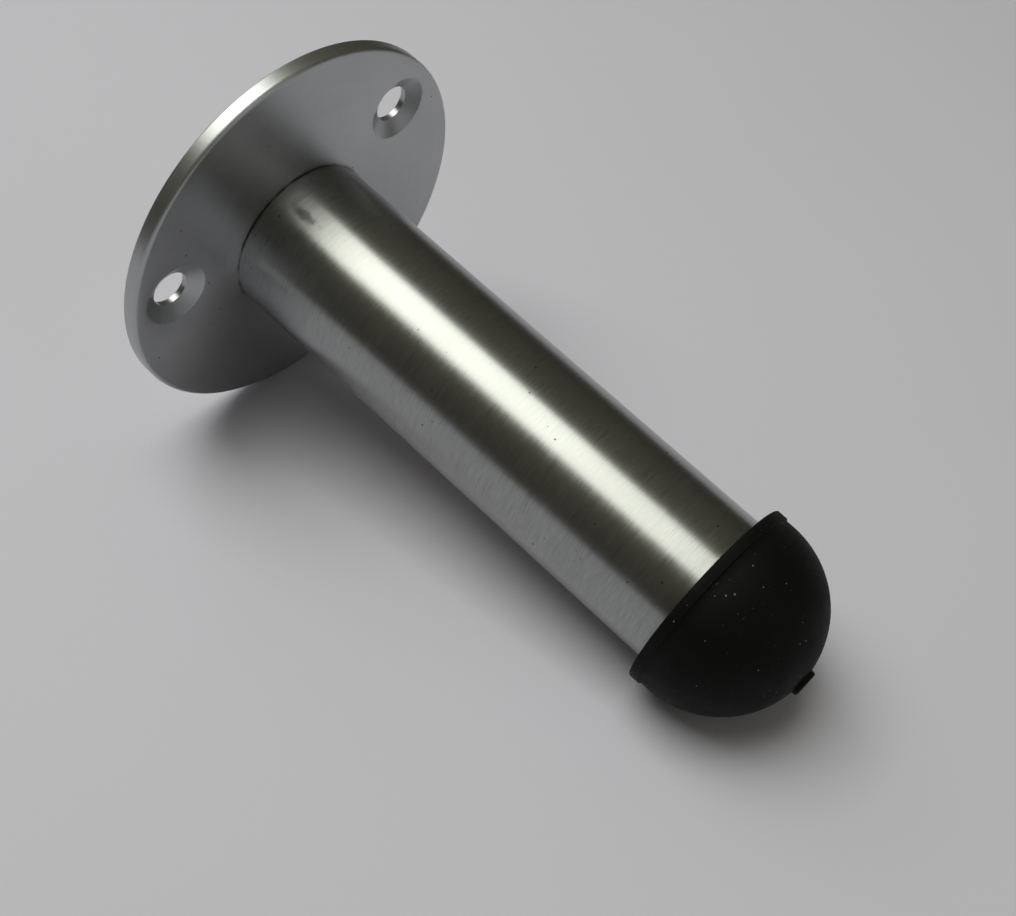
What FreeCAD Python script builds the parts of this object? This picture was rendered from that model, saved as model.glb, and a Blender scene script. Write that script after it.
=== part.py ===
"""Projection door stop: a flat round rose, a tubular post and a rubber buffer that meets the door.

Frame: +X runs out of the wall along the post and +Z is up. The origin is the centre of the rose's back face.
Sizes are in millimetres and angles in degrees. A turned piece is drawn as (x, radius) and turned about X.
"""
import FreeCAD, Part
import os

import Sketcher
from FreeCAD import Placement, Vector

FULL_TURN = 360
SHEET = "Sizes"
ROOT_POINT = (-1, 1)  # the sketch's own origin, as Sketcher numbers it
H_AXIS_LINE = -1
V_AXIS_LINE = -2

# Driving dimensions: alias, size, what it is.
DIMENSIONS = (
    ("rose_diameter", 40.0, "round base plate, outside diameter"),
    ("rose_thickness", 1.5, "round base plate, thickness"),
    ("rose_front_round", 0.4, "radius on the rose's front edge"),
    ("rose_back_bevel", 0.15, "bevel on the rose's back edge"),
    ("screw_circle", 30.6, "pitch circle diameter of the wall screw holes"),
    ("upper_screw_spread", 133.8, "angle round the post between the two upper wall screw holes"),
    ("screw_hole", 3.7, "wall screw clearance hole, diameter"),
    ("countersink", 6.6, "wall screw countersink, diameter at the front face"),
    ("countersink_angle", 118, "included angle of the wall screw countersinks"),
    ("tube_diameter", 16.0, "post, outside diameter"),
    ("tube_wall", 1.2, "post, wall thickness"),
    ("tube_length", 53.2, "post, length from the rose to the buffer"),
    ("tube_bevel", 0.15, "bevel on the post's outer end edges"),
    ("plug_length", 12.0, "base plug, length inside the post"),
    ("plug_bevel", 0.6, "bevel on the plug's inner end"),
    ("bolt_diameter", 5.0, "centre screw, thread diameter"),
    ("bolt_length", 12.0, "centre screw, overall length from the rose's back face"),
    ("bolt_seat", 9.4, "centre countersink, diameter at the rose's back face"),
    ("bolt_sink", 0.1, "how far the centre screw's head lies below the rose's back face"),
    ("bolt_tip_bevel", 0.6, "bevel on the centre screw's tip"),
    ("thread_pitch", 0.8, "centre screw, thread pitch"),
    ("thread_depth", 0.45, "centre screw, thread depth"),
    ("thread_turns", 10, "number of turns of thread"),
    ("recess_length", 4.6, "cross recess, length of each arm pair"),
    ("recess_width", 1.1, "cross recess, width of an arm"),
    ("recess_depth", 1.9, "cross recess, depth"),
    ("rim_diameter", 19.8, "buffer, rim that overhangs the post"),
    ("rim_width", 1.1, "buffer, width of the rim band"),
    ("dome_diameter", 19.4, "buffer, diameter of the dome"),
    ("dome_setback", 0.8, "buffer, straight length between the rim band and the dome"),
    ("nub_diameter", 2.6, "buffer, moulding nub on the tip"),
    ("nub_height", 0.4, "buffer, how far the nub stands proud of the dome"),
    ("stem_diameter", 12.8, "buffer, stem between its ribs"),
    ("stem_length", 13.0, "buffer, stem inside the post"),
    ("rib_count", 3, "number of gripping ribs on the stem"),
    ("rib_pitch", 3.5, "distance from rib to rib"),
    ("rib_width", 2.4, "length of a rib's slope"),
    ("rubber_round", 0.15, "buffer, radius on the edges of its rim and nub"),
    ("core_diameter", 6.0, "buffer, blind hole up the stem"),
    ("core_depth", 9.0, "buffer, depth of the blind hole"),
)

document = FreeCAD.newDocument("door_stop")


def make_sheet():
    """The spreadsheet of driving dimensions, one a row: name, size, meaning."""
    sheet = document.addObject("Spreadsheet::Sheet", SHEET)
    for row, (alias, size, meaning) in enumerate(DIMENSIONS, start=1):
        sheet.set(f"A{row}", alias)
        sheet.set(f"B{row}", str(size))
        sheet.set(f"C{row}", meaning)
        sheet.setAlias(f"B{row}", alias)
    document.recompute()
    return sheet


sheet = make_sheet()

# Places along the axis and radii that several pieces share, as formulas on the sheet.
ROSE_FRONT = f"{SHEET}.rose_thickness"
TUBE_END = f"({SHEET}.rose_thickness + {SHEET}.tube_length)"
TUBE_RADIUS = f"{SHEET}.tube_diameter / 2"
BORE_RADIUS = f"({SHEET}.tube_diameter / 2 - {SHEET}.tube_wall)"
BOLT_RADIUS = f"({SHEET}.bolt_diameter / 2)"
SEAT_RADIUS = f"({SHEET}.bolt_seat / 2)"
SEAT_END = f"({SHEET}.bolt_seat / 2 - {SHEET}.bolt_diameter / 2)"


def number(formula):
    """The present value of a formula on the sheet."""
    found = sheet.evalExpression(formula)
    return float(getattr(found, "Value", found))


def origin_feature(body, role):
    """One of a body's own origin planes or axes, by its role, such as XY_Plane or X_Axis."""
    return next(f for f in body.Origin.OriginFeatures if f.Role == role)


def new_body(label):
    body = document.addObject("PartDesign::Body", label)
    body.Label = label
    body.Placement = Placement()
    return body


def new_sketch(body, name, plane, offset=None):
    """A sketch on one of the body's origin planes, or raised above it by offset, a formula."""
    sketch = body.newObject("Sketcher::SketchObject", name)
    sketch.AttachmentSupport = (origin_feature(body, plane), "")
    sketch.MapMode = "FlatFace"
    if offset:
        sketch.setExpression("AttachmentOffset.Base.z", offset)
    return sketch


def place_point(sketch, name, geometry, end, across, up):
    """Fixes a point of the sketch at (across, up), two formulas. "0" puts it on the axis."""
    directions = (("x", "DistanceX", across, V_AXIS_LINE), ("y", "DistanceY", up, H_AXIS_LINE))
    for label, kind, formula, axis in directions:
        if formula == "0":
            sketch.addConstraint(Sketcher.Constraint("PointOnObject", geometry, end, axis))
            continue
        index = sketch.addConstraint(Sketcher.Constraint(kind, *ROOT_POINT, geometry, end, number(formula)))
        sketch.renameConstraint(index, f"{name}_{label}")
        sketch.setExpression(f"Constraints.{name}_{label}", formula)


def axis_arc(start, end):
    """The arc that runs anticlockwise from start to end with its centre on the sketch's horizontal axis."""
    centre_x = (end.Length**2 - start.Length**2) / (2 * (end.x - start.x))
    centre = Vector(centre_x, 0, 0)
    circle = Part.Circle(centre, Vector(0, 0, 1), (start - centre).Length)
    return Part.ArcOfCircle(circle, circle.parameter(start), circle.parameter(end))


def draw_outline(sketch, corners, arcs=()):
    """A closed outline through corners, each (across, up) as formulas, taken anticlockwise. The sides
    numbered in arcs bulge outwards as arcs centred on the horizontal axis."""
    points = [Vector(number(across), number(up), 0) for across, up in corners]
    for side, start in enumerate(points):
        end = points[(side + 1) % len(points)]
        sketch.addGeometry(axis_arc(start, end) if side in arcs else Part.LineSegment(start, end))
    for side in range(len(points)):
        following = (side + 1) % len(points)
        sketch.addConstraint(Sketcher.Constraint("Coincident", side, 2, following, 1))
    for side, (across, up) in enumerate(corners):
        place_point(sketch, f"corner_{side}", side, 1, across, up)
    for side in arcs:
        sketch.addConstraint(Sketcher.Constraint("PointOnObject", side, 3, H_AXIS_LINE))


def turned(body, name, corners, arcs=(), kind="PartDesign::Revolution"):
    """A solid, or a groove, turned about X from an outline of (x, radius) corners."""
    sketch = new_sketch(body, f"{name}_outline", "XY_Plane")
    draw_outline(sketch, corners, arcs)
    feature = body.newObject(kind, name)
    feature.Profile = sketch
    feature.ReferenceAxis = (sketch, ["H_Axis"])
    feature.Angle = FULL_TURN
    sketch.Visibility = False
    document.recompute()
    return feature


def circle_edge(shape, x, radius):
    """The name of the circular edge about the X axis at that place."""
    for index, edge in enumerate(shape.Edges, start=1):
        curve = edge.Curve
        if not isinstance(curve, Part.Circle):
            continue
        if abs(curve.Center.x - x) < 1e-4 and abs(curve.Radius - radius) < 1e-4:
            return f"Edge{index}"
    raise RuntimeError(f"no circular edge at x = {x}, radius {radius}")


def round_edges(body, name, places, radius):
    """Rounds the circular edges at the given (x, radius) places."""
    dress_edges(body, name, "PartDesign::Fillet", places, "Radius", radius)


def bevel_edges(body, name, places, size):
    """Bevels the circular edges at the given (x, radius) places at 45 degrees."""
    dress_edges(body, name, "PartDesign::Chamfer", places, "Size", size)


def dress_edges(body, name, kind, places, size_property, size):
    """A Fillet or Chamfer on the circular edges at the given (x, radius) places."""
    base = body.Tip
    edges = [circle_edge(base.Shape, number(x), number(radius)) for x, radius in places]
    feature = body.newObject(kind, name)
    feature.Base = (base, edges)
    feature.setExpression(size_property, size)
    document.recompute()
    return feature


def repeat_round(body, name, feature, count, angle):
    """Repeats a feature about the X axis, over that angle. count is a formula."""
    pattern = body.newObject("PartDesign::PolarPattern", name)
    pattern.Originals = [feature]
    pattern.Axis = (origin_feature(body, "X_Axis"), [""])
    pattern.Angle = angle
    pattern.setExpression("Occurrences", count)
    body.Tip = pattern
    document.recompute()
    return pattern


def volume_drop(body, build):
    """Runs build, which must take material away from the body."""
    before = body.Shape.Volume
    build()
    document.recompute()
    if not body.Shape.Volume < before - 1e-3:
        raise RuntimeError(f"{body.Label}: the last cut removed nothing")


def make_rose():
    """The round base plate, countersunk in front for wall screws and behind for the centre screw."""
    body = new_body("rose")
    disc = new_sketch(body, "rose_disc", "YZ_Plane")
    disc.addGeometry(Part.Circle(Vector(), Vector(0, 0, 1), number(f"{SHEET}.rose_diameter / 2")))
    disc.addConstraint(Sketcher.Constraint("Coincident", 0, 3, *ROOT_POINT))
    size = disc.addConstraint(Sketcher.Constraint("Diameter", 0, number(f"{SHEET}.rose_diameter")))
    disc.setExpression(f"Constraints[{size}]", f"{SHEET}.rose_diameter")
    plate = body.newObject("PartDesign::Pad", "rose_plate")
    plate.Profile = disc
    plate.setExpression("Length", ROSE_FRONT)
    document.recompute()
    rim = f"{SHEET}.rose_diameter / 2"
    round_edges(body, "front_round", [(ROSE_FRONT, rim)], f"{SHEET}.rose_front_round")
    bevel_edges(body, "back_bevel", [("0", rim)], f"{SHEET}.rose_back_bevel")
    volume_drop(body, lambda: cut_centre_seat(body))
    volume_drop(body, lambda: cut_wall_screw_holes(body))
    return body


def cut_centre_seat(body):
    """The cone that the centre screw's head lies in. Its radius shrinks as fast as x grows: 90 degrees."""
    corners = [
        ("0", "0"),
        (ROSE_FRONT, "0"),
        (ROSE_FRONT, f"{SEAT_RADIUS} - {ROSE_FRONT}"),
        ("0", SEAT_RADIUS),
    ]
    turned(body, "centre_seat", corners, kind="PartDesign::Groove")


def cut_wall_screw_holes(body):
    """Countersunk clearance holes on the pitch circle: two above the middle and one straight below it."""
    centres = new_sketch(body, "screw_hole_centres", "YZ_Plane", ROSE_FRONT)
    pitch_radius = f"{SHEET}.screw_circle / 2"
    half_spread = f"({SHEET}.upper_screw_spread / 2 * 1 deg)"
    across = f"{pitch_radius} * sin({half_spread})"
    up = f"{pitch_radius} * cos({half_spread})"
    places = (
        ("upper_right", across, up),
        ("upper_left", f"-{across}", up),
        ("lower", "0", f"-{pitch_radius}"),
    )
    for index, (name, hole_across, hole_up) in enumerate(places):
        middle = Vector(number(hole_across), number(hole_up), 0)
        centres.addGeometry(Part.Circle(middle, Vector(0, 0, 1), number(f"{SHEET}.screw_hole / 2")))
        place_point(centres, name, index, 3, hole_across, hole_up)
        size = centres.addConstraint(Sketcher.Constraint("Diameter", index, number(f"{SHEET}.screw_hole")))
        centres.setExpression(f"Constraints[{size}]", f"{SHEET}.screw_hole")
    document.recompute()
    holes = body.newObject("PartDesign::Hole", "wall_screw_holes")
    holes.Profile = centres
    document.recompute()
    holes.DepthType = "ThroughAll"
    holes.HoleCutType = "Countersink"
    holes.HoleCutCustomValues = True
    holes.setExpression("Diameter", f"{SHEET}.screw_hole")
    holes.setExpression("HoleCutDiameter", f"{SHEET}.countersink")
    holes.setExpression("HoleCutCountersinkAngle", f"{SHEET}.countersink_angle")
    document.recompute()


def make_tube():
    """The post: a plain length of tube that stands on the rose."""
    body = new_body("tube")
    corners = [
        (ROSE_FRONT, BORE_RADIUS),
        (TUBE_END, BORE_RADIUS),
        (TUBE_END, TUBE_RADIUS),
        (ROSE_FRONT, TUBE_RADIUS),
    ]
    turned(body, "tube_wall", corners)
    ends = [(ROSE_FRONT, TUBE_RADIUS), (TUBE_END, TUBE_RADIUS)]
    bevel_edges(body, "tube_bevels", ends, f"{SHEET}.tube_bevel")
    return body


def make_base_plug():
    """The slug fixed in the foot of the tube. Its hole's mouth takes the rest of the screw's head."""
    body = new_body("base_plug")
    inner_end = f"({SHEET}.rose_thickness + {SHEET}.plug_length)"
    corners = [
        (ROSE_FRONT, f"{SEAT_RADIUS} - {ROSE_FRONT}"),
        (SEAT_END, BOLT_RADIUS),
        (inner_end, BOLT_RADIUS),
        (inner_end, f"{BORE_RADIUS} - {SHEET}.plug_bevel"),
        (f"{inner_end} - {SHEET}.plug_bevel", BORE_RADIUS),
        (ROSE_FRONT, BORE_RADIUS),
    ]
    turned(body, "plug_slug", corners)
    return body


def make_centre_screw():
    """The countersunk machine screw that clamps the rose to the plug, driven from behind."""
    body = new_body("centre_screw")
    tip = f"{SHEET}.bolt_length"
    corners = [
        (f"{SHEET}.bolt_sink", "0"),
        (f"{SHEET}.bolt_sink", f"{SEAT_RADIUS} - {SHEET}.bolt_sink"),
        (SEAT_END, BOLT_RADIUS),
        (f"{tip} - {SHEET}.bolt_tip_bevel", BOLT_RADIUS),
        (tip, f"{BOLT_RADIUS} - {SHEET}.bolt_tip_bevel"),
        (tip, "0"),
    ]
    turned(body, "screw_blank", corners)
    volume_drop(body, lambda: cut_thread(body))
    volume_drop(body, lambda: cut_cross_recess(body))
    return body


def cut_thread(body):
    """The thread, as ring grooves one pitch apart."""
    start = f"({SEAT_END} + {SHEET}.thread_pitch)"
    corners = [
        (start, BOLT_RADIUS),
        (f"{start} + {SHEET}.thread_pitch / 2", f"{BOLT_RADIUS} - {SHEET}.thread_depth"),
        (f"{start} + {SHEET}.thread_pitch * 0.9", BOLT_RADIUS),
    ]
    groove = turned(body, "thread_groove", corners, kind="PartDesign::Groove")
    pattern = body.newObject("PartDesign::LinearPattern", "thread")
    pattern.Originals = [groove]
    pattern.Direction = (origin_feature(body, "X_Axis"), [""])
    pattern.setExpression("Length", f"({SHEET}.thread_turns - 1) * {SHEET}.thread_pitch")
    pattern.setExpression("Occurrences", f"{SHEET}.thread_turns")
    body.Tip = pattern
    document.recompute()


def cut_cross_recess(body):
    """The driver's cross: one slot across the head, and the same slot a quarter turn on."""
    slot = new_sketch(body, "recess_slot", "YZ_Plane", f"{SHEET}.bolt_sink")
    half_length = f"{SHEET}.recess_length / 2"
    half_width = f"{SHEET}.recess_width / 2"
    corners = [
        (half_length, half_width),
        (f"-{half_length}", half_width),
        (f"-{half_length}", f"-{half_width}"),
        (half_length, f"-{half_width}"),
    ]
    draw_outline(slot, corners)
    arm = body.newObject("PartDesign::Pocket", "recess_arm")
    arm.Profile = slot
    arm.Reversed = True
    arm.setExpression("Length", f"{SHEET}.recess_depth")
    document.recompute()
    repeat_round(body, "cross_recess", arm, "2", angle=FULL_TURN / 4)


def make_buffer():
    """The rubber cap in one moulding: ribbed stem with a blind hole, rim band, dome and moulding nub."""
    body = new_body("buffer")
    stem_radius = f"{SHEET}.stem_diameter / 2"
    core_radius = f"{SHEET}.core_diameter / 2"
    stem_end = f"({TUBE_END} - {SHEET}.stem_length)"
    band_end = f"({TUBE_END} + {SHEET}.rim_width)"
    dome_foot = f"({TUBE_END} + {SHEET}.rim_width + {SHEET}.dome_setback)"
    rim_radius = f"{SHEET}.rim_diameter / 2"
    dome_radius = f"{SHEET}.dome_diameter / 2"
    nub_radius = f"{SHEET}.nub_diameter / 2"
    nub_top = f"({dome_foot} + {dome_radius} + {SHEET}.nub_height)"
    core_end = f"({stem_end} + {SHEET}.core_depth)"
    corners = [
        (stem_end, core_radius),
        (core_end, core_radius),
        (core_end, "0"),
        (nub_top, "0"),
        (nub_top, nub_radius),
        (f"{dome_foot} + sqrt(({dome_radius})^2 - ({nub_radius})^2)", nub_radius),
        (dome_foot, dome_radius),
        (band_end, dome_radius),
        (band_end, rim_radius),
        (TUBE_END, rim_radius),
        (TUBE_END, stem_radius),
    ]
    dome_side = corners.index((dome_foot, dome_radius)) - 1
    for rib in range(int(number(f"{SHEET}.rib_count"))):
        rib_face = f"({TUBE_END} - {rib} * {SHEET}.rib_pitch - {SHEET}.rib_pitch / 2)"
        corners.append((rib_face, stem_radius))
        corners.append((rib_face, BORE_RADIUS))
        corners.append((f"{rib_face} - {SHEET}.rib_width", stem_radius))
    corners.append((stem_end, stem_radius))
    turned(body, "buffer_moulding", corners, arcs=(dome_side,))
    soft = [(TUBE_END, rim_radius), (band_end, rim_radius), (nub_top, nub_radius)]
    round_edges(body, "soft_edges", soft, f"{SHEET}.rubber_round")
    return body


def check_document():
    """Stops the run if any object failed to compute."""
    for item in document.Objects:
        if {"Invalid", "Error"} & set(item.State):
            raise RuntimeError(f"{item.Label} is {item.State}")


def write_step(body):
    """Writes one sub-part after checking that it is a single sound solid."""
    shape = body.Shape
    if shape.isNull() or not shape.isValid() or len(shape.Solids) != 1:
        raise RuntimeError(f"{body.Label} is not one valid solid")
    shape.exportStep(os.path.join("parts", f"{body.Label}.step"))
    box = shape.optimalBoundingBox(False)
    span = f"x {box.XMin:.2f} to {box.XMax:.2f}, radius {box.YMax:.2f}"
    print(f"{body.Label}: {span}, {shape.Volume:.1f} mm3")


def main():
    bodies = [make_rose(), make_tube(), make_base_plug(), make_centre_screw(), make_buffer()]
    document.recompute()
    check_document()
    os.makedirs("parts", exist_ok=True)
    for body in bodies:
        write_step(body)


main()
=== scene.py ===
"""Looks of a projection door stop lying on white paper: satin chrome rose and post, black rubber buffer.

Lengths below are in millimetres in the CAD frame: +X runs along the post and the origin is the centre of the
rose's back face. Blender's own objects are in metres.
"""

import math

import bmesh
import bpy
from mathutils import Matrix, Vector, noise
from mathutils.geometry import delaunay_2d_cdt


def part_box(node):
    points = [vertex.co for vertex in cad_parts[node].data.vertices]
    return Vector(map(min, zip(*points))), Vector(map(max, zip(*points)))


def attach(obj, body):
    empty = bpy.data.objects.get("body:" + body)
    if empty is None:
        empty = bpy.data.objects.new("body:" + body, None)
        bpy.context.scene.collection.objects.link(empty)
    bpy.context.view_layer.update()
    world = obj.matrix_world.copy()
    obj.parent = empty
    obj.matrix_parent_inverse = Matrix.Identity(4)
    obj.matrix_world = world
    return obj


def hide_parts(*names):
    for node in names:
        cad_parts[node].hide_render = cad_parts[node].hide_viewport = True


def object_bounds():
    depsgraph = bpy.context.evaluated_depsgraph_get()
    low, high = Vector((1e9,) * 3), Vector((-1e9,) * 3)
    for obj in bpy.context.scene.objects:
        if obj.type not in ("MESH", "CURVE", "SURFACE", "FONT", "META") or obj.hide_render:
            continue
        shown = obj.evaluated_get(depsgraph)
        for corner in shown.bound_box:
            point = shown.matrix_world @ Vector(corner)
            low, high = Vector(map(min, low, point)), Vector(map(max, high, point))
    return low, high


MM = 0.001
FLOOR_HALF = 8.0  # half the paper's side, in metres

# Camera: where it stands, where it looks and which way is up, then its focal length and the shift of its lens
# right and up, as shares of the picture's width.
SENSOR_WIDTH = 36
CAMERA_PLACE = (67.55, -33.25, 108.67)
CAMERA_FORWARD = (-0.2115, 0.2164, -0.9531)
CAMERA_UP = (-0.6619, 0.6858, 0.3026)
FOCAL_SHARE = 1.2452
LENS_SHIFT = (-0.038583, 0.116634)
CLIP_START = 0.001
CLIP_END = 20

# The side of the part that lies on the paper, round the post in degrees from +Y towards +Z.
FLOOR_SIDE = 250

# The rose.
HOLE_ANGLES = (23.1, 156.9, 270)
HOLE_CIRCLE_RADIUS = 15.3
HOLE_RADIUS = 1.85
COUNTERSINK_RADIUS = 3.3
COUNTERSINK_ANGLE = 118
SEAT_RADIUS = 4.7
ROSE_FRONT_ROUND = 0.4
ROSE_BACK_ROUND = 0.15
LIP_ROUND = 0.05

# The tube.
TUBE_BORE = 6.8
TUBE_END_ROUND = 0.15

# The buffer.
RIM_WIDTH = 1.1
DOME_SETBACK = 0.8
RIM_ROUND = 0.15
DOME_RADIUS = 9.7
NUB_RADIUS = 1.3
NUB_ROUND = 0.2
STEM_RADIUS = 6.4
FLASH_HEIGHT = 0.05
FLASH_WIDTH = 0.10

# Light: the dim room, and the pale backdrop the camera sees past the paper's edge.
ROOM_LOW = (0.046, 0.043, 0.033, 1)
ROOM_HIGH = (0.142, 0.137, 0.100, 1)
BACKDROP = (0.50, 0.49, 0.50, 1)
LIGHT_DISTANCE = 0.60  # from the part's middle to every soft box, in metres
# Soft boxes that face the part: name, how far each leans along the post and across it for a unit of height, its
# size along and across as a share of its distance, radiance and colour.
SOFTBOXES = (
    ("key", -0.27, -0.18, (0.80, 0.66), 3.80, (1.0, 1.015, 0.90)),
    ("window", -1.0, 0.05, (0.40, 0.55), 1.1, (0.86, 0.93, 1.0)),
    ("far_wall", 4.0, 0.6, (1.2, 0.6), 0.44, (0.96, 0.98, 1.0)),
)

# Satin chrome's shades on the rose and on the tube: dark grain, pale grain and clouding.
# The rose's shades are lighter than the tube's: painted light that brightens the rose's face in place of more
# lamp light.
ROSE_SHADES_PAINTED_LIGHTER = ((0.36, 0.37, 0.38, 1), (0.56, 0.57, 0.58, 1), (0.38, 0.39, 0.40, 1))
TUBE_SHADES = ((0.27, 0.275, 0.275, 1), (0.425, 0.43, 0.43, 1), (0.30, 0.305, 0.307, 1))
BRASS_STAIN = (0.17, 0.135, 0.085, 1)
PIT_COLOUR = (0.06, 0.06, 0.05, 1)

# A painted dark reflection of the rose's shaded face near the post's foot, breaking the highlight: where it is
# and how large, in metres along the post and round it.
PAINTED_REFLECTION_PLACE = (0.0050, 0.0134)
PAINTED_REFLECTION_SIZE = (0.0022, 0.0007)
PAINTED_REFLECTION_COLOUR = (0.06, 0.058, 0.05, 1)

# Where brass shows in the joint, in metres: up to this height on the post and this radius on the rose.
TUBE_STAIN_TOP = 0.00185
ROSE_STAIN_RADIUS = 0.00835
STAIN_FADE = 2800  # how quickly the stain fades, per metre

SUPPORT = 0.03  # distance of the extra ring that keeps a flat face flat beside a rounded edge
RING_SEGMENTS = 240

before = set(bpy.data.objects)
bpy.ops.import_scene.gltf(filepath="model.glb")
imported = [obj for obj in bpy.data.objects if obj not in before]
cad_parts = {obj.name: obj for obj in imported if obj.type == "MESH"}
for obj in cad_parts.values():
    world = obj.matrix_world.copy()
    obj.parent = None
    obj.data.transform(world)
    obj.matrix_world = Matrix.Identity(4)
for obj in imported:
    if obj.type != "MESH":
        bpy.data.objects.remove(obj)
cad_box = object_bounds()
boxes = {}


# ---------------------------------------------------------------- meshes

def box_mm(node):
    """A CAD node's lowest and highest corners in millimetres."""
    if node not in boxes:
        low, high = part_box(node)
        boxes[node] = (low / MM, high / MM)
    return boxes[node]


def corner_arc(centre, radius, first, last, steps=6):
    """Profile points on an arc, as (x, radius) pairs. Angles are in degrees from the +X direction."""
    angles = [math.radians(first + (last - first) * i / steps) for i in range(steps + 1)]
    return [(centre[0] + radius * math.cos(a), centre[1] + radius * math.sin(a)) for a in angles]


def new_object(name, bm, smooth_limit=35):
    """Makes an object of a bmesh, smooth except along edges sharper than the limit."""
    bmesh.ops.remove_doubles(bm, verts=bm.verts, dist=1e-7)
    bmesh.ops.recalc_face_normals(bm, faces=bm.faces)
    limit = math.radians(smooth_limit)
    for face in bm.faces:
        face.smooth = True
    for edge in bm.edges:
        edge.smooth = len(edge.link_faces) == 2 and edge.calc_face_angle() < limit
    mesh = bpy.data.meshes.new(name)
    bm.to_mesh(mesh)
    bm.free()
    made = bpy.data.objects.new(name, mesh)
    bpy.context.scene.collection.objects.link(made)
    return made


def lathe(name, profile, segments=RING_SEGMENTS, wobble=None):
    """Turns a closed profile of (x, radius) points about the X axis. Points at radius 0 become one vertex.
    wobble(x, radius, angle) may move a point: it returns the (x, radius) to use."""
    bm = bmesh.new()
    rings = []
    for x, radius in profile:
        if radius < 1e-6:
            rings.append([bm.verts.new((x * MM, 0, 0))])
            continue
        ring = []
        for step in range(segments):
            angle = 2 * math.pi * step / segments
            px, pr = wobble(x, radius, angle) if wobble else (x, radius)
            ring.append(bm.verts.new((px * MM, pr * math.cos(angle) * MM, pr * math.sin(angle) * MM)))
        rings.append(ring)
    for here, there in zip(rings, rings[1:] + rings[:1]):
        join_rings(bm, here, there)
    return new_object(name, bm)


def join_rings(bm, here, there):
    """Faces between two rings of vertices, either of which may be a single vertex."""
    if len(here) == 1 and len(there) == 1:
        return
    count = max(len(here), len(there))
    for i in range(count):
        j = (i + 1) % count
        corners = []
        for ring, index in ((here, i), (here, j), (there, j), (there, i)):
            vertex = ring[index % len(ring)]
            if vertex not in corners:
                corners.append(vertex)
        bm.faces.new(corners)


def circle_points(centre, radius, segments):
    """Points of a circle in the YZ plane, in millimetres."""
    steps = [2 * math.pi * i / segments for i in range(segments)]
    return [Vector((centre[0] + radius * math.cos(a), centre[1] + radius * math.sin(a))) for a in steps]


def flat_face(bm, x, outer, holes):
    """A flat face across x inside the ring outer and outside the rings in holes. Rings are lists of vertices."""
    rings = [outer] + holes
    points, edges, vertices = [], [], []
    for ring in rings:
        start = len(points)
        points += [Vector((v.co.y / MM, v.co.z / MM)) for v in ring]
        edges += [(start + i, start + (i + 1) % len(ring)) for i in range(len(ring))]
        vertices += ring
    found = delaunay_2d_cdt(points, edges, [], 0, 1e-6)
    faces, origins = found[2], found[3]
    for face in faces:
        corners = [vertices[origins[i][0]] for i in face]
        middle = sum(((v.co / MM).yz for v in corners), Vector((0, 0))) / 3
        if inside_ring(middle, outer) and not any(inside_ring(middle, hole) for hole in holes):
            bm.faces.new(corners)


def inside_ring(point, ring):
    """Whether a point of the YZ plane lies inside a ring of vertices that form a circle."""
    centre = sum(((v.co / MM).yz for v in ring), Vector((0, 0))) / len(ring)
    return (point - centre).length < ((ring[0].co / MM).yz - centre).length


def hole_rings(bm, centre, profile, segments):
    """The wall of a hole from its (x, radius) profile. Returns its rings of vertices."""
    rings = []
    for x, radius in profile:
        points = circle_points(centre, radius, segments)
        rings.append([bm.verts.new((x * MM, p.x * MM, p.y * MM)) for p in points])
    for here, there in zip(rings, rings[1:]):
        join_rings(bm, here, there)
    return rings


def make_rose():
    """The round plate: rounded rim, countersunk screw holes and the seat of the centre screw at the back."""
    low, high = box_mm("rose")
    back, front, radius = low.x, high.x, high.z
    bm = bmesh.new()
    rim = corner_arc((back + ROSE_BACK_ROUND, radius - ROSE_BACK_ROUND), ROSE_BACK_ROUND, 180, 90, 4)
    rim.insert(0, (back, radius - ROSE_BACK_ROUND - SUPPORT))
    rim.append((back + ROSE_BACK_ROUND + SUPPORT, radius))
    rim.append((front - ROSE_FRONT_ROUND - SUPPORT, radius))
    rim += corner_arc((front - ROSE_FRONT_ROUND, radius - ROSE_FRONT_ROUND), ROSE_FRONT_ROUND, 90, 0, 8)
    rim.append((front, radius - ROSE_FRONT_ROUND - SUPPORT))
    rim_rings = hole_rings(bm, (0, 0), rim, RING_SEGMENTS)
    seat = [(back, SEAT_RADIUS + SUPPORT), (back, SEAT_RADIUS), (front, SEAT_RADIUS - (front - back))]
    seat_rings = hole_rings(bm, (0, 0), seat, 96)
    sink = (COUNTERSINK_RADIUS - HOLE_RADIUS) / math.tan(math.radians(COUNTERSINK_ANGLE / 2))
    backs, fronts = [rim_rings[0], seat_rings[0]], [rim_rings[-1], seat_rings[-1]]
    for angle in HOLE_ANGLES:
        turn = math.radians(angle)
        centre = (HOLE_CIRCLE_RADIUS * math.cos(turn), HOLE_CIRCLE_RADIUS * math.sin(turn))
        profile = [
            (back, HOLE_RADIUS + LIP_ROUND),
            (back + LIP_ROUND, HOLE_RADIUS),
            (front - sink, HOLE_RADIUS),
            (front - LIP_ROUND, COUNTERSINK_RADIUS - LIP_ROUND),
            (front - LIP_ROUND * 0.3, COUNTERSINK_RADIUS),
            (front, COUNTERSINK_RADIUS + LIP_ROUND),
        ]
        rings = hole_rings(bm, centre, profile, 72)
        backs.append(rings[0])
        fronts.append(rings[-1])
    flat_face(bm, back, backs[0], backs[1:])
    flat_face(bm, front, fronts[0], fronts[1:])
    return new_object("rose_looks", bm)


def make_tube():
    """The post, with a small round on both outer ends."""
    low, high = box_mm("tube")
    foot, end, radius = low.x, high.x, high.z
    edge = TUBE_END_ROUND
    profile = [(foot, TUBE_BORE), (end, TUBE_BORE), (end, radius - edge - SUPPORT)]
    profile += corner_arc((end - edge, radius - edge), edge, 0, 90, 5)
    profile += [(end - edge - SUPPORT, radius), (foot + edge + SUPPORT, radius)]
    profile += corner_arc((foot + edge, radius - edge), edge, 90, 180, 5)
    profile.append((foot, radius - edge - SUPPORT))
    return lathe("tube_looks", profile)


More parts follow.
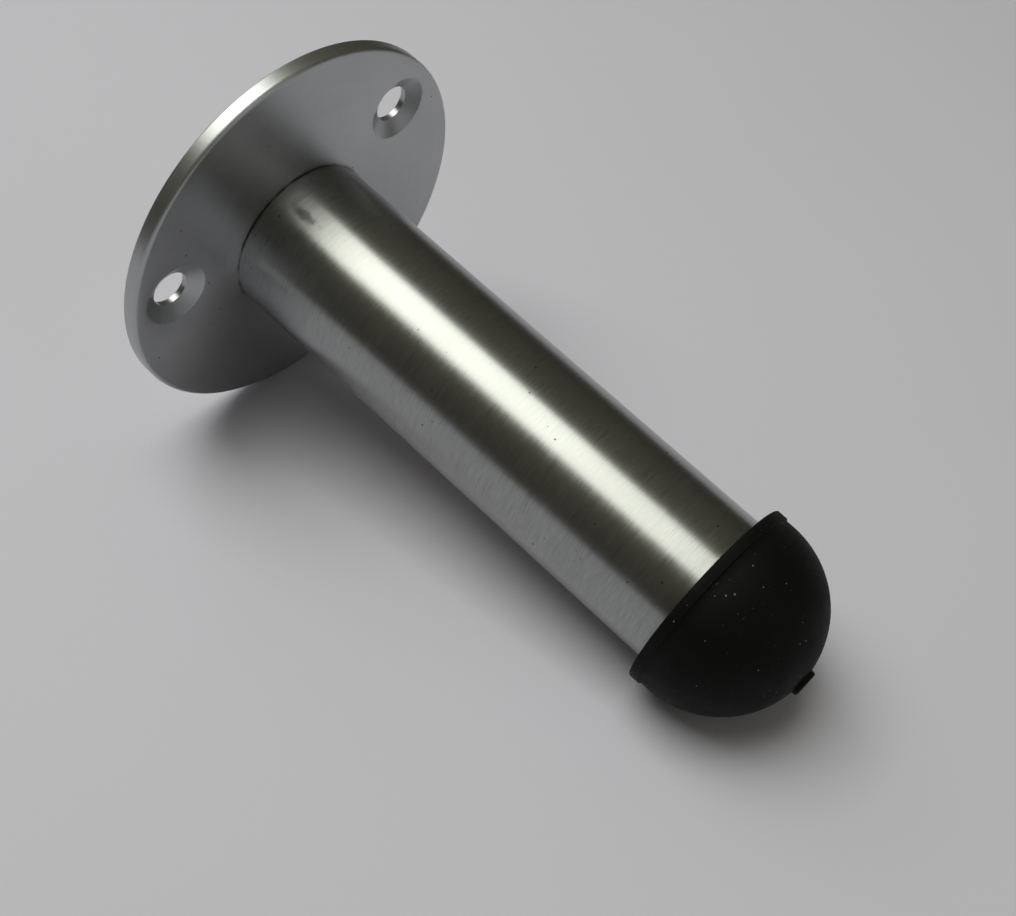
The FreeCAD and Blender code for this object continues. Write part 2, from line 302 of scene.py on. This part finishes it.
def buffer_wobble(x, radius, angle):
    """The slight unevenness of moulded rubber: the rim is a little ragged, and the dome hardly at all."""
    tube_end = box_mm("tube")[1].x
    if x < tube_end - 0.01 or radius < STEM_RADIUS:
        return x, radius
    place = Vector((x * 0.2, 3 * math.cos(angle), 3 * math.sin(angle)))
    slow = noise.noise(place)
    quick = noise.noise(place * 7)
    share = 1 if radius > DOME_RADIUS + 0.03 else 0.35
    return x, radius - share * abs(0.05 * slow + 0.025 * quick)


def make_buffer():
    """The rubber moulding: stem, rim band with its flash line, dome and the nub left by the mould's gate."""
    low, high = box_mm("buffer")
    tube_end = box_mm("tube")[1].x
    rim_radius, nub_end = high.z, high.x
    band_end = tube_end + RIM_WIDTH
    dome_foot = band_end + DOME_SETBACK
    middle = tube_end + RIM_WIDTH * 0.5
    profile = [(low.x, 0), (low.x, STEM_RADIUS - 0.5), (low.x + 0.5, STEM_RADIUS), (tube_end, STEM_RADIUS)]
    profile.append((tube_end, rim_radius - RIM_ROUND - SUPPORT))
    profile += corner_arc((tube_end + RIM_ROUND, rim_radius - RIM_ROUND), RIM_ROUND, 180, 90, 5)
    profile += [(middle - FLASH_WIDTH, rim_radius - FLASH_HEIGHT * 0.2), (middle, rim_radius)]
    profile.append((middle + FLASH_WIDTH, rim_radius - FLASH_HEIGHT * 0.6))
    profile += corner_arc((band_end - RIM_ROUND, rim_radius - RIM_ROUND), RIM_ROUND, 80, 10, 5)
    profile += [(band_end + 0.02, DOME_RADIUS + 0.05), (band_end + 0.1, DOME_RADIUS)]
    nub_foot = math.degrees(math.asin((NUB_RADIUS + 0.15) / DOME_RADIUS))
    profile += corner_arc((dome_foot, 0), DOME_RADIUS, 90, nub_foot, 60)
    dome_at_nub = dome_foot + math.sqrt(DOME_RADIUS**2 - NUB_RADIUS**2)
    profile.append((dome_at_nub + 0.04, NUB_RADIUS + 0.03))
    profile.append((nub_end - NUB_ROUND - SUPPORT, NUB_RADIUS))
    profile += corner_arc((nub_end - NUB_ROUND, NUB_RADIUS - NUB_ROUND), NUB_ROUND, 90, 0, 4)
    profile += [(nub_end, NUB_RADIUS * 0.5), (nub_end, 0)]
    return lathe("buffer_looks", profile, wobble=buffer_wobble)


# ---------------------------------------------------------------- materials

class Nodes:
    """A material's node tree, with short calls that add a node and join it up."""

    def __init__(self, name):
        self.material = bpy.data.materials.new(name)
        self.material.use_nodes = True
        self.tree = self.material.node_tree
        self.tree.nodes.clear()
        self.shader = self.add("ShaderNodeBsdfPrincipled")
        self.output = self.add("ShaderNodeOutputMaterial")
        self.join(self.shader.outputs[0], self.output.inputs[0])
        self.place = self.add("ShaderNodeTexCoord").outputs["Object"]

    def add(self, kind, **settings):
        node = self.tree.nodes.new(kind)
        for key, value in settings.items():
            setattr(node, key, value)
        return node

    def join(self, source, target):
        """Joins an output to an input, or sets the input's value when source is a number or colour."""
        if isinstance(source, bpy.types.NodeSocket):
            self.tree.links.new(source, target)
        else:
            target.default_value = source

    def math(self, operation, first, second=0.0, third=0.0):
        node = self.add("ShaderNodeMath", operation=operation)
        for source, socket in zip((first, second, third), node.inputs):
            self.join(source, socket)
        return node.outputs[0]

    def mix(self, factor, first, second):
        """Mixes two colours."""
        node = self.add("ShaderNodeMix", data_type="RGBA")
        self.join(factor, node.inputs["Factor"])
        self.join(first, node.inputs[6])
        self.join(second, node.inputs[7])
        return node.outputs[2]

    def scaled(self, vector, scale):
        """A vector times a scale for each of its axes."""
        node = self.add("ShaderNodeVectorMath", operation="MULTIPLY")
        self.join(vector, node.inputs[0])
        self.join(scale, node.inputs[1])
        return node.outputs[0]

    def noise(self, vector, scale, detail=2.0, roughness=0.5):
        node = self.add("ShaderNodeTexNoise")
        self.join(vector, node.inputs["Vector"])
        self.join(scale, node.inputs["Scale"])
        self.join(detail, node.inputs["Detail"])
        self.join(roughness, node.inputs["Roughness"])
        return node.outputs["Fac"]

    def ramp(self, value, low, high, out_low=0.0, out_high=1.0):
        """value from low to high, smoothly mapped from out_low to out_high and held outside."""
        node = self.add("ShaderNodeMapRange", interpolation_type="SMOOTHSTEP")
        for source, socket in zip((value, low, high, out_low, out_high), node.inputs):
            self.join(source, socket)
        return node.outputs[0]

    def specks(self, vector, cells, radius, share):
        """1 inside small round specks and 0 elsewhere. cells is how many speck cells there are a metre, radius is
        a share of a cell, and share is how many of the cells have a speck."""
        node = self.add("ShaderNodeTexVoronoi", feature="F1")
        self.join(vector, node.inputs["Vector"])
        self.join(cells, node.inputs["Scale"])
        pick = self.add("ShaderNodeSeparateColor")
        self.join(node.outputs["Color"], pick.inputs[0])
        size = self.math("MULTIPLY", pick.outputs[1], radius)
        near = self.math("LESS_THAN", node.outputs["Distance"], size)
        chosen = self.math("LESS_THAN", pick.outputs[0], share)
        return self.math("MULTIPLY", near, chosen)

    def round_post(self):
        """Coordinates that run along X and round it: (x, arc length at the post's radius, distance from X)."""
        split = self.add("ShaderNodeSeparateXYZ")
        self.join(self.place, split.inputs[0])
        turn = self.math("ARCTAN2", split.outputs[2], split.outputs[1])
        radius = self.math("SQRT", self.math(
            "ADD",
            self.math("MULTIPLY", split.outputs[1], split.outputs[1]),
            self.math("MULTIPLY", split.outputs[2], split.outputs[2]),
        ))
        return split.outputs[0], self.math("MULTIPLY", turn, 0.008), radius

    def spot(self, along, around, place, size):
        """1 in the middle of a ragged oval spot of the post's surface, fading to 0 at its edge."""
        reach = self.math("DIVIDE", self.math("SUBTRACT", along, place[0]), size[0])
        turn = self.math("DIVIDE", self.math("SUBTRACT", around, place[1]), size[1])
        squares = [self.math("MULTIPLY", side, side) for side in (reach, turn)]
        away = self.math("SQRT", self.math("ADD", *squares))
        ragged = self.math("ADD", away, self.math("MULTIPLY", self.noise(self.place, 1500, 3.0, 0.6), 0.8))
        return self.ramp(ragged, 0.6, 1.4, 1.0, 0.0)

    def vector(self, x, y, z=0.0):
        node = self.add("ShaderNodeCombineXYZ")
        for source, socket in zip((x, y, z), node.inputs):
            self.join(source, socket)
        return node.outputs[0]

    def bump(self, height, strength, distance, normal=None):
        node = self.add("ShaderNodeBump")
        self.join(strength, node.inputs["Strength"])
        self.join(distance, node.inputs["Distance"])
        self.join(height, node.inputs["Height"])
        if normal is not None:
            self.join(normal, node.inputs["Normal"])
        return node.outputs[0]

    def set(self, **values):
        """Sets or joins the shader's inputs, named with underscores for spaces."""
        for name, value in values.items():
            self.join(value, self.shader.inputs[name.replace("_", " ")])


def satin_chrome(name, shades, foot_tint, smoothest, roughest, anisotropy, contrast, worn, with_painted_reflection=False):
    """Chrome over brass with a fine grain turned round the post, small dark pits and, where foot_tint says so,
    brass showing in the joint at the post's foot. contrast is how much the grain shows in the colour, and worn
    is the share of the surface's cells that have a pit. The last argument adds a painted dark reflection of the
    rose's shaded face near the foot."""
    m = Nodes(name)
    along, around, radius = m.round_post()
    grain_place = m.vector(along, m.math("MULTIPLY", around, 0.04), radius)
    fine = m.noise(grain_place, 11000, 3.0, 0.65)
    broad = m.noise(grain_place, 2200, 3.0, 0.6)
    cloud = m.noise(m.place, 150, 4.0, 0.6)
    grain = m.math("ADD", m.math("MULTIPLY", fine, 0.75), m.math("MULTIPLY", broad, 0.25))
    pits = m.math("MAXIMUM", m.specks(m.place, 1300, 0.16, worn), m.specks(m.place, 700, 0.10, worn * 0.25))
    colour = m.mix(m.ramp(grain, 0.3, 0.7, 0.5 - contrast, 0.5 + contrast), shades[0], shades[1])
    colour = m.mix(m.ramp(cloud, 0.3, 0.7, 0.0, 0.35), colour, shades[2])
    brass_near = m.ramp(foot_tint(m, along, radius), 0.0, 1.0)
    patchy = m.math("MULTIPLY", brass_near, m.ramp(m.noise(m.place, 600), 0.35, 0.6))
    colour = m.mix(m.math("MULTIPLY", patchy, 0.7), colour, BRASS_STAIN)
    colour = m.mix(m.math("MULTIPLY", pits, 0.7), colour, PIT_COLOUR)
    rough = m.math("ADD", m.ramp(grain, 0.3, 0.7, smoothest, roughest), m.math("MULTIPLY", pits, 0.3))
    # Painted dark reflection of the rose's shaded face near the foot, which breaks the tube's highlight.
    if with_painted_reflection:
        painted_reflection = m.math("MULTIPLY", m.spot(along, around, PAINTED_REFLECTION_PLACE, PAINTED_REFLECTION_SIZE), 0.75)
        colour = m.mix(painted_reflection, colour, PAINTED_REFLECTION_COLOUR)
    tangent = m.add("ShaderNodeTangent", direction_type="RADIAL", axis="X")
    m.set(
        Base_Color=colour,
        Metallic=1.0,
        Roughness=rough,
        Anisotropic=anisotropy,
        Anisotropic_Rotation=0.25,
        Tangent=tangent.outputs[0],
        Normal=m.bump(grain, 0.18, 0.00004),
    )
    return m.material


def tube_foot(m, along, radius):
    """Near 1 within a quarter of a millimetre of the rose."""
    return m.math("MULTIPLY", m.math("SUBTRACT", TUBE_STAIN_TOP, along), STAIN_FADE)


def rose_foot(m, along, radius):
    """Near 1 on the rose's front face close round the post."""
    front = m.ramp(along, 0.0012, 0.0014)
    inside = m.math("SUBTRACT", ROSE_STAIN_RADIUS, radius)
    return m.math("MULTIPLY", front, m.math("MULTIPLY", inside, STAIN_FADE))


def black_rubber():
    """Matte moulded rubber with fine pores and a dusting of tiny pale specks."""
    m = Nodes("black_rubber")
    pores = m.noise(m.place, 5200, 3.0, 0.6)
    patches = m.noise(m.place, 260, 3.0, 0.55)
    dust = m.specks(m.place, 1700, 0.15, 0.30)
    grit = m.specks(m.scaled(m.place, (1.3, 1.3, 1.3)), 2600, 0.22, 0.22)
    colour = m.mix(patches, (0.0020, 0.0020, 0.0019, 1), (0.0045, 0.0044, 0.0040, 1))
    colour = m.mix(m.math("MULTIPLY", grit, 0.35), colour, (0.09, 0.085, 0.06, 1))
    colour = m.mix(m.math("MULTIPLY", dust, 0.8), colour, (0.20, 0.19, 0.13, 1))
    m.set(
        Base_Color=colour,
        Roughness=m.ramp(patches, 0.3, 0.7, 0.58, 0.70),
        Specular_IOR_Level=0.12,
        Normal=m.bump(pores, 0.25, 0.00005, m.bump(patches, 0.15, 0.0002)),
    )
    return m.material


def zinc_steel():
    """Bright zinc on the centre screw, a little cloudy."""
    m = Nodes("zinc_steel")
    cloud = m.noise(m.place, 900, 4.0, 0.6)
    m.set(
        Base_Color=m.mix(cloud, (0.52, 0.53, 0.55, 1), (0.68, 0.68, 0.67, 1)),
        Metallic=1.0,
        Roughness=m.ramp(cloud, 0.3, 0.7, 0.26, 0.40),
        Normal=m.bump(cloud, 0.1, 0.00004),
    )
    return m.material


def turned_brass():
    """The base plug, as it leaves the lathe."""
    m = Nodes("turned_brass")
    along, around, radius = m.round_post()
    rings = m.noise(m.vector(along, 0.0, radius), 6000, 2.0, 0.5)
    m.set(
        Base_Color=m.mix(rings, (0.62, 0.47, 0.22, 1), (0.78, 0.62, 0.33, 1)),
        Metallic=1.0,
        Roughness=m.ramp(rings, 0.3, 0.7, 0.22, 0.38),
        Normal=m.bump(rings, 0.2, 0.00005),
    )
    return m.material


def paper():
    """Plain white paper, very slightly mottled. It is clear from below, so a view from under its plane still
    shows the part."""
    m = Nodes("paper")
    fibre = m.noise(m.place, 1800, 4.0, 0.6)
    cloud = m.noise(m.place, 14, 3.0, 0.5)
    m.set(
        Base_Color=m.mix(cloud, (0.672, 0.660, 0.765, 1), (0.700, 0.688, 0.795, 1)),
        Roughness=0.75,
        Specular_IOR_Level=0.2,
        Normal=m.bump(fibre, 0.12, 0.0001),
    )
    clear = m.add("ShaderNodeBsdfTransparent")
    pick = m.add("ShaderNodeMixShader")
    m.join(m.add("ShaderNodeNewGeometry").outputs["Backfacing"], pick.inputs[0])
    m.join(m.shader.outputs[0], pick.inputs[1])
    m.join(clear.outputs[0], pick.inputs[2])
    m.join(pick.outputs[0], m.output.inputs[0])
    return m.material


def paint(thing, material):
    thing.data.materials.clear()
    thing.data.materials.append(material)


# ---------------------------------------------------------------- stage, light and camera

def floor_plane():
    """The paper under the part, which rests on the rose's front edge and the buffer's rim.
    Returns a point of it and its upward normal, in metres."""
    rose = box_mm("rose")
    rim = box_mm("tube")[1].x
    turn = math.radians(FLOOR_SIDE)
    down = Vector((0, math.cos(turn), math.sin(turn)))
    rose_touch = down * rose[1].z + Vector((rose[1].x - ROSE_FRONT_ROUND, 0, 0))
    buffer_touch = down * box_mm("buffer")[1].z + Vector((rim + RIM_WIDTH - RIM_ROUND, 0, 0))
    along = (buffer_touch - rose_touch).normalized()
    normal = (along * along.dot(down) - down).normalized()
    return rose_touch * MM, normal


def make_floor(point, normal):
    """A wide sheet of paper in the plane."""
    bm = bmesh.new()
    bmesh.ops.create_grid(bm, x_segments=24, y_segments=24, size=FLOOR_HALF)
    tilt = normal.to_track_quat("Z", "Y").to_matrix().to_4x4()
    bmesh.ops.transform(bm, matrix=Matrix.Translation(point) @ tilt, verts=bm.verts)
    floor = new_object("paper_floor", bm)
    if floor.data.polygons[0].normal.dot(normal) < 0:
        floor.data.flip_normals()
    paint(floor, paper())
    return floor


def make_camera():
    camera = bpy.data.objects.new("camera", bpy.data.cameras.new("camera"))
    bpy.context.scene.collection.objects.link(camera)
    forward = Vector(CAMERA_FORWARD).normalized()
    right = forward.cross(Vector(CAMERA_UP)).normalized()
    up = right.cross(forward)
    turn = Matrix((right, up, -forward)).transposed().to_4x4()
    camera.matrix_world = Matrix.Translation(Vector(CAMERA_PLACE) * MM) @ turn
    camera.data.sensor_width = SENSOR_WIDTH
    camera.data.lens = FOCAL_SHARE * SENSOR_WIDTH
    camera.data.shift_x = LENS_SHIFT[0]
    camera.data.shift_y = LENS_SHIFT[1]
    camera.data.clip_start = CLIP_START
    camera.data.clip_end = CLIP_END
    bpy.context.scene.camera = camera


def make_world(normal):
    """A dim room for the metal to reflect, a little brighter overhead, with a pale backdrop for the camera."""
    world = bpy.data.worlds.new("room")
    bpy.context.scene.world = world
    world.use_nodes = True
    tree = world.node_tree
    background = tree.nodes["Background"]
    direction = tree.nodes.new("ShaderNodeTexCoord").outputs["Generated"]
    height = tree.nodes.new("ShaderNodeVectorMath")
    height.operation = "DOT_PRODUCT"
    height.inputs[1].default_value = normal
    tree.links.new(direction, height.inputs[0])
    ramp = tree.nodes.new("ShaderNodeValToRGB")
    tree.links.new(height.outputs["Value"], ramp.inputs[0])
    ramp.color_ramp.elements[0].position = 0.0
    ramp.color_ramp.elements[0].color = ROOM_LOW
    ramp.color_ramp.elements[1].position = 0.95
    ramp.color_ramp.elements[1].color = ROOM_HIGH
    seen = tree.nodes.new("ShaderNodeLightPath")
    pick = tree.nodes.new("ShaderNodeMix")
    pick.data_type = "RGBA"
    tree.links.new(seen.outputs["Is Camera Ray"], pick.inputs["Factor"])
    tree.links.new(ramp.outputs[0], pick.inputs[6])
    pick.inputs[7].default_value = BACKDROP
    tree.links.new(pick.outputs[2], background.inputs[0])


def make_softbox(name, lean_along, lean_across, size, radiance, colour, target, normal):
    """A rectangular soft light that faces the target, with its sides along the post and across it."""
    along = (Vector((1, 0, 0)) - normal * normal.x).normalized()
    across = normal.cross(along)
    away = (normal + along * lean_along + across * lean_across).normalized()
    sideways = (across - away * away.dot(across)).normalized()
    lengthways = sideways.cross(away)
    light = bpy.data.lights.new(name, "AREA")
    light.shape = "RECTANGLE"
    light.size = size[0] * LIGHT_DISTANCE
    light.size_y = size[1] * LIGHT_DISTANCE
    light.energy = radiance * math.pi * light.size * light.size_y
    light.color = colour
    lamp = bpy.data.objects.new(name, light)
    lamp.visible_camera = False
    bpy.context.scene.collection.objects.link(lamp)
    axes = Matrix((lengthways, sideways, away)).transposed().to_4x4()
    lamp.matrix_world = Matrix.Translation(target + away * LIGHT_DISTANCE) @ axes


def main():
    rose_metal = satin_chrome("satin_chrome_rose", ROSE_SHADES_PAINTED_LIGHTER, rose_foot, 0.35, 0.41, 0.6, 0.12, 0.02)
    tube_metal = satin_chrome("satin_chrome_tube", TUBE_SHADES, tube_foot, 0.27, 0.36, 0.78, 0.4, 0.16, True)
    pieces = {
        "rose": (make_rose(), rose_metal, "satin_chrome"),
        "tube": (make_tube(), tube_metal, "satin_chrome"),
        "buffer": (make_buffer(), black_rubber(), "black_rubber"),
    }
    for node, (piece, material, slot) in pieces.items():
        paint(piece, material)
        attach(piece, "root")
        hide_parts(node)
    paint(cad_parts["base_plug"], turned_brass())
    paint(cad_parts["centre_screw"], zinc_steel())
    point, normal = floor_plane()
    make_floor(point, normal)
    make_world(normal)
    middle = (Vector(cad_box[0]) + Vector(cad_box[1])) / 2
    for softbox in SOFTBOXES:
        make_softbox(*softbox, middle, normal)
    make_camera()
    bpy.context.scene.view_settings.view_transform = "Standard"


main()
